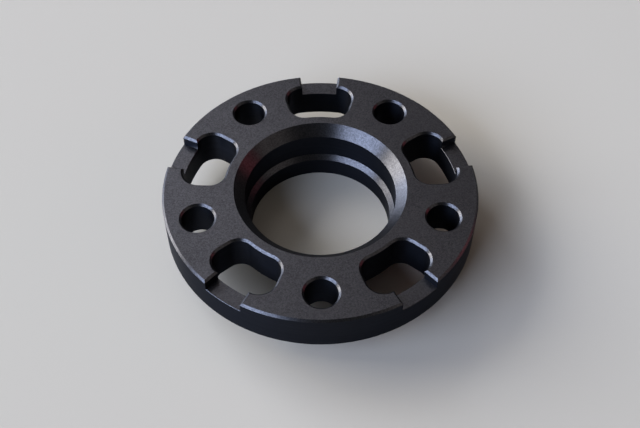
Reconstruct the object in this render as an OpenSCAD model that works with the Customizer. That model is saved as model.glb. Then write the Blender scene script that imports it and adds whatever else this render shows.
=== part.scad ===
// Hub-centric wheel spacer, turned and milled from one piece of aluminium.
// It stands on the end of its wheel lip, with the hub face up and the axis on Z.

/* [Flange] */
// Outer diameter of the flange
flange_d = 150; // [145:0.5:180]
// Thickness of the flange, from the hub face to the wheel face
flange_t = 20; // [15:0.5:30]
// Chamfer round the hub side of the rim
rim_chamfer_hub = 1; // [0.5:0.05:2.5]
// Chamfer round the wheel side of the rim
rim_chamfer_wheel = 0.8; // [0.4:0.05:2.5]
// Chamfer on both faces of each bolt hole and window, and along the notch sides
edge_chamfer = 1; // [0.4:0.05:2]

/* [Hub bore and wheel lip] */
// Diameter of the bore that takes the hub's spigot
hub_bore_d = 72.5; // [70:0.1:76]
// Width of the cone that leads the spigot in, measured along the hub face
lead_in_w = 5; // [1:0.25:6]
// Depth of the lead-in cone
lead_in_depth = 5; // [1:0.25:7]
// Height of the hub bore's ledge above the wheel face
ledge_rise = 2.25; // [1.5:0.25:6]
// Depth of the cone that forms the ledge
ledge_depth = 2.25; // [1:0.25:4]
// Diameter of the clear hole through the lip
lip_hole_d = 68; // [58:0.1:69]
// Outer diameter of the lip that centres the wheel
lip_d = 72.5; // [72:0.1:80]
// Height of the lip below the wheel face
lip_h = 10; // [6:0.5:14]
// Chamfer that leads the wheel onto the lip
lip_chamfer = 1; // [0.3:0.05:1.5]

/* [Bolt holes] */
// Number of bolt holes, with one window between each pair
bolt_count = 5; // [4:1:6]
// Diameter of the bolt circle
bolt_circle_d = 120; // [112:0.5:124]
// Diameter of each bolt hole
bolt_hole_d = 15.4; // [12:0.1:17]

/* [Windows] */
// Metal left between the hub bore's wall and a window
window_hub_w = 10; // [9:0.1:13]
// Metal left between a window and the rim
window_rim_w = 8; // [6:0.1:12]
// Half of the angle between a window's two side walls
window_half_angle = 16; // [13:0.1:18]
// Radius of the two corners nearest the bore
window_inner_corner_r = 7.5; // [4:0.1:8]
// Radius of the two corners nearest the rim
window_outer_corner_r = 7.9; // [4:0.1:9]

/* [Rim notches] */
// Half of the angle between a notch's two side walls
notch_half_angle = 7.5; // [4:0.1:8]
// Depth of the notch floor below the hub face
notch_depth = 5.5; // [3:0.1:12]
// Edge break round the notch floor and down its corners
notch_edge_break = 0.15; // [0.1:0.05:0.6]

/* [Hidden] */
$fn = 180;

// How far a cutting tool runs past the surface that it cuts
over = 1;
// How far a window's side walls stand inside the sweep of its corners, so that the two cross cleanly
side_inset = 0.002;
// How far a side wall's tool runs on into each corner
side_lap = 0.1;
// How far a corner tool turns on past its side wall, in degrees
corner_overrun = 3;
// How far the two halves of a window's outer wall tool overlap at its middle, in degrees
outer_overlap = 0.5;
// The same for its inner wall tool, and unequal so that no two ends are level
inner_overlap = 1;

flange_r = flange_d / 2;
hub_bore_r = hub_bore_d / 2;
lip_hole_r = lip_hole_d / 2;
lip_r = lip_d / 2;
bolt_circle_r = bolt_circle_d / 2;
bolt_hole_r = bolt_hole_d / 2;
// Radii of a window's two curved walls
window_inner_r = hub_bore_r + window_hub_w;
window_outer_r = flange_r - window_rim_w;

// Heights above the end of the lip
wheel_face = lip_h;
hub_face = wheel_face + flange_t;
ledge_top = wheel_face + ledge_rise;
ledge_low = ledge_top - ledge_depth;
notch_floor = hub_face - notch_depth;

// One bolt hole lies towards -Y, and a window lies halfway between two holes
pitch = 360 / bolt_count;
first_hole = -90;
first_window = first_hole + pitch / 2;

// Distance of each window corner's centre from the spacer's axis
inner_corner_centre = window_inner_r + window_inner_corner_r;
outer_corner_centre = window_outer_r - window_outer_corner_r;
// Angle between a side wall and the line from the axis to each corner's centre
inner_corner_lag = asin(window_inner_corner_r / inner_corner_centre);
outer_corner_lag = asin(window_outer_corner_r / outer_corner_centre);
// Angle from a window's middle to each corner's centre
inner_corner_angle = window_half_angle - inner_corner_lag;
outer_corner_angle = window_half_angle - outer_corner_lag;
// Stretch of a side wall's tool, along the wall
side_start = inner_corner_centre * cos(inner_corner_lag) - side_lap;
side_end = outer_corner_centre * cos(outer_corner_lag) + side_lap;
// Depth of the wall tools, which is enough for them to overlap inside the window
wall_tool = (window_outer_r - window_inner_r) / 2 + over;

// Half section of the turned blank, in radius and height
module blank_section() {
    polygon([
        [lip_hole_r, 0],
        [lip_hole_r, ledge_low],
        [hub_bore_r, ledge_top],
        [hub_bore_r, hub_face - lead_in_depth],
        [hub_bore_r + lead_in_w, hub_face],
        [flange_r - rim_chamfer_hub, hub_face],
        [flange_r, hub_face - rim_chamfer_hub],
        [flange_r, wheel_face + rim_chamfer_wheel],
        [flange_r - rim_chamfer_wheel, wheel_face],
        [lip_r, wheel_face],
        [lip_r, lip_chamfer],
        [lip_r - lip_chamfer, 0]
    ]);
}

// Section of a tool whose wall is at the given reach, with a chamfer at each face of the flange
module wall_section(reach) {
    flare = edge_chamfer + over;
    polygon([
        [0, wheel_face - over],
        [reach + flare, wheel_face - over],
        [reach, wheel_face + edge_chamfer],
        [reach, hub_face - edge_chamfer],
        [reach + flare, hub_face + over],
        [0, hub_face + over]
    ]);
}

// Tool for one window, centred on the X axis and made as two mirrored halves
module window_tool() {
    for (side = [0, 1]) mirror([0, side, 0]) {
        window_outer_wall();
        window_inner_wall();
        window_side_wall();
    }
}

// Half of the wall nearest the rim, with its corner
module window_outer_wall() {
    half_turn = outer_corner_angle + outer_overlap;
    rotate(outer_corner_angle) {
        rotate_extrude(start = -half_turn, angle = half_turn)
            translate([window_outer_r - wall_tool, 0]) wall_section(wall_tool);
        translate([outer_corner_centre, 0])
            rotate_extrude(start = 0, angle = 90 + outer_corner_lag + corner_overrun)
                wall_section(window_outer_corner_r);
    }
}

// Half of the wall nearest the bore, with its corner
module window_inner_wall() {
    half_turn = inner_corner_angle + inner_overlap;
    corner_turn = 90 - inner_corner_lag + corner_overrun;
    rotate(inner_corner_angle) {
        rotate_extrude(start = -half_turn, angle = half_turn)
            translate([window_inner_r + wall_tool, 0]) mirror([1, 0]) wall_section(wall_tool);
        translate([inner_corner_centre, 0])
            rotate_extrude(start = 180 - corner_turn, angle = corner_turn)
                wall_section(window_inner_corner_r);
    }
}

// Straight side wall between two corners
module window_side_wall() {
    rotate(window_half_angle) translate([side_end, -wall_tool - side_inset, 0]) rotate([90, 0, -90])
        linear_extrude(side_end - side_start) mirror([1, 0]) wall_section(wall_tool);
}

// Tool for one notch, which opens a window out through the rim on the hub side
module notch_tool() {
    rotate_extrude(start = -notch_half_angle, angle = 2 * notch_half_angle)
        polygon([
            [window_outer_r - over, notch_floor - notch_edge_break - over],
            [window_outer_r + notch_edge_break, notch_floor],
            [flange_r - notch_edge_break, notch_floor],
            [flange_r + over, notch_floor - notch_edge_break - over],
            [flange_r + over, hub_face + over],
            [window_outer_r - over, hub_face + over]
        ]);
    for (side = [0, 1]) mirror([0, side, 0]) rotate(notch_half_angle) {
        notch_side_chamfer();
        translate([window_outer_r, 0]) corner_break();
        translate([flange_r, 0]) mirror([1, 0]) corner_break();
    }
}

// Chamfer along the top of a notch side, which here lies on the X axis with the metal towards +Y
module notch_side_chamfer() {
    translate([window_outer_r - over, 0, hub_face]) rotate([90, 0, 90])
        linear_extrude(flange_r - window_outer_r + 2 * over)
            polygon([
                [-over, -edge_chamfer - over],
                [edge_chamfer + over, over],
                [-over, over]
            ]);
}

// Break down an upright corner of a notch, which here lies on the Z axis with the metal towards +X +Y
module corner_break() {
    reach = notch_edge_break + over;
    translate([0, 0, notch_floor]) linear_extrude(notch_depth + over)
        polygon([[-over, -over], [reach, -over], [-over, reach]]);
}

// The whole spacer
module spacer_body() {
    color("#2e2f33") difference() {
        rotate_extrude() blank_section();
        for (i = [0 : bolt_count - 1]) {
            rotate(first_hole + i * pitch) translate([bolt_circle_r, 0])
                rotate_extrude() wall_section(bolt_hole_r);
            rotate(first_window + i * pitch) {
                window_tool();
                notch_tool();
            }
        }
    }
}

spacer_body();
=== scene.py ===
"""Black anodised wheel spacer on a pale studio floor, seen from above its front edge."""

import math

import bmesh
import bpy
from mathutils import Matrix, Vector


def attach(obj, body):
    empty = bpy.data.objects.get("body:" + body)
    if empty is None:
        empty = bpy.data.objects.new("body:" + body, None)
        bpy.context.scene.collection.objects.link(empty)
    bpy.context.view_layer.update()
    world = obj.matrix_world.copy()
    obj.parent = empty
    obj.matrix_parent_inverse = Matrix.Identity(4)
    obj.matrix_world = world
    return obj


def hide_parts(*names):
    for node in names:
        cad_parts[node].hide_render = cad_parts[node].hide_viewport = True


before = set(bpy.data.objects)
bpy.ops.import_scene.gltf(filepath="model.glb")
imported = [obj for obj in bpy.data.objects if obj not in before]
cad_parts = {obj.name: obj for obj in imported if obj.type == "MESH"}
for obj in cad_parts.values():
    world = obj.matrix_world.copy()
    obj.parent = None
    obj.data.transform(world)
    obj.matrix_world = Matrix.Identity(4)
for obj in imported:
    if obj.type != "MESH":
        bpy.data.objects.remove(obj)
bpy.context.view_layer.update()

MM = 0.001

# Height of the spacer's hub face above the floor
HUB_FACE = 30.0 * MM
# Points of the mesh that lie closer together than this are joined
WELD = 0.003 * MM
# Faces that meet at more than this angle keep a crisp edge between them
CRISP = math.radians(20)

# The camera, as solved from the spacer's own edges in the photograph: its lens and frame
FOCAL_PX, WIDTH_PX, SENSOR_MM = 996.8, 640, 36.0
# How steeply it looks down, its turn round the spacer and its tilt
CAMERA_RISE, CAMERA_SWING, CAMERA_ROLL = (math.radians(a) for a in (52.220, -0.581, 0.155))
# Its distance from the middle of the hub face, and how far it is moved to its own right and up
CAMERA_DISTANCE, CAMERA_ACROSS, CAMERA_UP = 473.757 * MM, -0.153 * MM, -13.041 * MM
# Anything nearer to it than this isn't drawn
NEAREST_SEEN = 10.0 * MM

# Distance from the spacer to each lamp, and half the floor's width, in metres
LAMP_REACH = 12.0
FLOOR_HALF = 30.0
# Strength of the even light from the room
ROOM_LIGHT = 0.07
# Each lamp's turn round the spacer, rise, width and height in degrees, then its radiance and colour
LAMPS = {
    "window_left": (162, 20, 27, 40, 10.6, "#f4f4f2"),
    "window_back_left": (135, 20, 27, 40, 10.6, "#dce9ff"),
    "window_front_left": (215.5, 29, 48, 30, 11.2, "#c6d8fa"),
    "panel_back_left": (116, 45, 30, 26, 1.7, "#f4f6ff"),
    "panel_back": (80, 55, 35, 30, 0.32, "#fff1ee"),
    "card_right": (331, 25, 41, 24, 0.58, "#fff4ee"),
    "warm_card": (8, 12, 21, 19, 1.1, "#ff7488"),
}


def linear(code):
    """An sRGB hex colour as linear RGBA."""
    parts = [int(code[i:i + 2], 16) / 255 for i in (1, 3, 5)]
    return [c / 12.92 if c <= 0.04045 else ((c + 0.055) / 1.055) ** 2.4 for c in parts] + [1.0]


def add(tree, kind, sockets=None, **settings):
    """A new node with its settings, and each named or numbered input linked or set."""
    node = tree.nodes.new(kind)
    for name, value in settings.items():
        setattr(node, name, value)
    for key, value in (sockets or {}).items():
        if isinstance(value, bpy.types.NodeSocket):
            tree.links.new(value, node.inputs[key])
        else:
            node.inputs[key].default_value = value
    return node


def new_material(name):
    """An empty node material and its tree."""
    material = bpy.data.materials.new(name)
    material.use_nodes = True
    material.node_tree.nodes.clear()
    return material, material.node_tree


def black_anodised_aluminium():
    """Aluminium turned and milled, bead-blasted, then anodised and dyed black.

    The dyed film swallows almost all light that enters it, so what the eye gets is a soft gloss from
    the film's surface. The blasted grain breaks that gloss into a fine speckle on faces, cones and
    chamfers. The upright walls are coloured darker and a little bluer than the faces, as painted shade,
    and carry the tool's lines round them. The cutter ran level, so its fine marks draw the gloss out
    upright wherever the surface isn't flat.
    """
    material, tree = new_material("black_anodised_aluminium")
    coordinates = add(tree, "ShaderNodeTexCoord")
    place = coordinates.outputs["Object"]

    # 0 on the upright walls, 1 on faces, cones and chamfers, by how far the surface faces up or down; it
    # sets the finish, and where the walls' painted shade goes
    wall_until, blasted_from = 0.2, 0.45
    normal = add(tree, "ShaderNodeSeparateXYZ", {"Vector": coordinates.outputs["Normal"]})
    facing = add(tree, "ShaderNodeMath", {0: normal.outputs["Z"]}, operation="ABSOLUTE")
    blasted = add(tree, "ShaderNodeMapRange",
                  {"Value": facing.outputs[0], "From Min": wall_until, "From Max": blasted_from},
                  interpolation_type="SMOOTHSTEP").outputs["Result"]

    # The blasted pits are about 0.1 mm across, too fine to show here, so their speckle is drawn at
    # 0.5 mm, with a softer grain of 0.7 mm mixed in
    real_pit_mm, pit_mm, grain_mm = 0.1, 0.5, 0.7
    pits = add(tree, "ShaderNodeTexVoronoi", {"Vector": place, "Scale": 1 / (pit_mm * MM)})
    pit_tone = add(tree, "ShaderNodeSeparateColor", {"Color": pits.outputs["Color"]}).outputs["Red"]
    grain = add(tree, "ShaderNodeTexNoise",
                {"Vector": place, "Scale": 1 / (grain_mm * MM), "Detail": 3.0, "Roughness": 0.7})
    speckle = add(tree, "ShaderNodeMix", {"Factor": 0.5, "A": grain.outputs["Fac"], "B": pit_tone},
                  data_type="FLOAT").outputs["Result"]

    # Tool lines round the walls are about 0.15 mm apart, drawn at 0.7 mm so that they show
    line_mm, along_mm = 0.7, 60.0
    stretch = [1 / (along_mm * MM), 1 / (along_mm * MM), 1 / (line_mm * MM)]
    drawn_out = add(tree, "ShaderNodeMapping", {"Vector": place, "Scale": stretch})
    lines = add(tree, "ShaderNodeTexNoise",
                {"Vector": drawn_out.outputs["Vector"], "Scale": 1.0, "Detail": 2.0, "Roughness": 0.6})
    relief = add(tree, "ShaderNodeMix", {"Factor": blasted, "A": lines.outputs["Fac"], "B": speckle},
                 data_type="FLOAT").outputs["Result"]

    # The dye takes a little unevenly, in clouds of about 25 mm
    cloud_mm, cloud_share = 25.0, 0.2
    cloud = add(tree, "ShaderNodeTexNoise",
                {"Vector": place, "Scale": 1 / (cloud_mm * MM), "Detail": 2.0, "Roughness": 0.5})
    tone = add(tree, "ShaderNodeMix", {"Factor": cloud_share, "A": relief, "B": cloud.outputs["Fac"]},
               data_type="FLOAT").outputs["Result"]
    face_dye = add(tree, "ShaderNodeMix", {"Factor": tone, "A": linear("#2c2b2d"), "B": linear("#5f5e61")},
                   data_type="RGBA").outputs["Result"]
    # Painted shade: the upright walls are coloured darker and a little bluer than the faces
    painted_wall_shade = add(tree, "ShaderNodeMix", {"Factor": tone, "A": linear("#202126"), "B": linear("#31343c")},
                   data_type="RGBA").outputs["Result"]
    # Faces take the dye's tone, upright walls take the painted shade
    dye_and_wall_shade = add(tree, "ShaderNodeMix", {"Factor": blasted, "A": painted_wall_shade, "B": face_dye},
              data_type="RGBA").outputs["Result"]

    # Darker spots are rougher, from the darkest to the lightest that the tone reaches
    darkest, lightest = 0.2, 0.8
    face_gloss = add(tree, "ShaderNodeMapRange", {
        "Value": tone, "From Min": darkest, "From Max": lightest, "To Min": 0.39, "To Max": 0.33})
    wall_gloss = add(tree, "ShaderNodeMapRange", {
        "Value": tone, "From Min": darkest, "From Max": lightest, "To Min": 0.42, "To Max": 0.34})
    gloss = add(tree, "ShaderNodeMix", {
        "Factor": blasted, "A": wall_gloss.outputs["Result"], "B": face_gloss.outputs["Result"]},
        data_type="FLOAT").outputs["Result"]

    # The gloss is drawn out upright, along Z. On the flat faces, where upright has no direction, each
    # pit leans its own way instead, at its real size, so that the faces show no one direction
    lean = 0.2
    leans = add(tree, "ShaderNodeTexVoronoi", {"Vector": place, "Scale": 1 / (real_pit_mm * MM)})
    upright = add(tree, "ShaderNodeVectorMath",
                  {0: leans.outputs["Color"], 1: (2 * lean, 2 * lean, 0.0), 2: (-lean, -lean, 1.0)},
                  operation="MULTIPLY_ADD").outputs["Vector"]

    relief_mm = 0.03
    bump = add(tree, "ShaderNodeBump", {"Height": relief, "Strength": 0.3, "Distance": relief_mm * MM})
    shader = add(tree, "ShaderNodeBsdfPrincipled", {
        "Base Color": dye_and_wall_shade, "Metallic": 1.0, "Roughness": gloss, "Specular Tint": linear("#bcbcbc"),
        "Normal": bump.outputs["Normal"], "Anisotropic": 0.7, "Tangent": upright})
    add(tree, "ShaderNodeOutputMaterial", {"Surface": shader.outputs["BSDF"]})
    return material


def studio_paper():
    """Matt pale studio paper: plain, with hardly any gloss."""
    material, tree = new_material("pale_studio_paper")
    shader = add(tree, "ShaderNodeBsdfPrincipled", {
        "Base Color": linear("#b8b0a3"), "Roughness": 0.9, "Specular IOR Level": 0.2})
    add(tree, "ShaderNodeOutputMaterial", {"Surface": shader.outputs["BSDF"]})
    return material


def turned_body(node):
    """The spacer's mesh with its loose triangles joined, its curves smooth and its edges crisp."""
    mesh = bpy.data.meshes.new("spacer")
    bm = bmesh.new()
    bm.from_mesh(node.data)
    bmesh.ops.remove_doubles(bm, verts=bm.verts, dist=WELD)
    bmesh.ops.dissolve_degenerate(bm, edges=bm.edges, dist=WELD)
    for face in bm.faces:
        face.smooth = True
    for edge in bm.edges:
        edge.smooth = edge.is_manifold and edge.calc_face_angle() < CRISP
    bm.to_mesh(mesh)
    bm.free()
    piece = bpy.data.objects.new("spacer", mesh)
    bpy.context.scene.collection.objects.link(piece)
    return piece


def photo_camera():
    """The camera that the photograph was taken with, as far as the spacer's own edges tell."""
    level_part = math.cos(CAMERA_RISE)
    back = Vector((math.sin(CAMERA_SWING) * level_part, -math.cos(CAMERA_SWING) * level_part,
                   math.sin(CAMERA_RISE)))
    level = (-back).cross(Vector((0, 0, 1))).normalized()
    upright = level.cross(-back)
    right = level * math.cos(CAMERA_ROLL) + upright * math.sin(CAMERA_ROLL)
    up = upright * math.cos(CAMERA_ROLL) - level * math.sin(CAMERA_ROLL)
    spot = back * CAMERA_DISTANCE + right * CAMERA_ACROSS + up * CAMERA_UP + Vector((0, 0, HUB_FACE))
    data = bpy.data.cameras.new("photo_camera")
    data.sensor_fit = "HORIZONTAL"
    data.sensor_width = SENSOR_MM
    data.lens = FOCAL_PX / WIDTH_PX * SENSOR_MM
    data.clip_start = NEAREST_SEEN
    camera = bpy.data.objects.new("photo_camera", data)
    camera.matrix_world = Matrix((
        (right.x, up.x, back.x, spot.x),
        (right.y, up.y, back.y, spot.y),
        (right.z, up.z, back.z, spot.z),
        (0, 0, 0, 1)))
    bpy.context.scene.collection.objects.link(camera)
    bpy.context.scene.camera = camera


def softbox(name, turn, rise, wide, high, radiance, colour):
    """A rectangular soft lamp of an even radiance.

    Seen from the spacer it lies at that turn and rise, and is that wide and high, in degrees. The
    turn starts at +X and goes towards +Y.
    """
    turn, rise = math.radians(turn), math.radians(rise)
    towards = Vector((math.cos(turn) * math.cos(rise), math.sin(turn) * math.cos(rise), math.sin(rise)))
    data = bpy.data.lights.new(name, "AREA")
    data.shape = "RECTANGLE"
    data.size = 2 * LAMP_REACH * math.tan(math.radians(wide / 2))
    data.size_y = 2 * LAMP_REACH * math.tan(math.radians(high / 2))
    data.energy = radiance * math.pi * data.size * data.size_y
    data.color = linear(colour)[:3]
    lamp = bpy.data.objects.new(name, data)
    lamp.location = towards * LAMP_REACH
    lamp.rotation_euler = (-towards).to_track_quat("-Z", "Y").to_euler()
    lamp.visible_camera = False
    bpy.context.scene.collection.objects.link(lamp)


def studio():
    """Pale floor, a dim even room and the softboxes."""
    mesh = bpy.data.meshes.new("floor")
    corners = [(x * FLOOR_HALF, y * FLOOR_HALF, 0) for x, y in ((-1, -1), (1, -1), (1, 1), (-1, 1))]
    mesh.from_pydata(corners, [], [(0, 1, 2, 3)])
    floor = bpy.data.objects.new("floor", mesh)
    floor.data.materials.append(studio_paper())
    bpy.context.scene.collection.objects.link(floor)

    world = bpy.data.worlds.new("room")
    world.use_nodes = True
    background = world.node_tree.nodes["Background"]
    background.inputs["Color"].default_value = linear("#ffffff")
    background.inputs["Strength"].default_value = ROOM_LIGHT
    bpy.context.scene.world = world

    for name, lamp in LAMPS.items():
        softbox(name, *lamp)


photo_camera()
studio()
body = turned_body(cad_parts["spacer_body"])
body.data.materials.append(black_anodised_aluminium())
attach(body, "root")
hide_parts("spacer_body")

bpy.context.scene.view_settings.view_transform = "Standard"
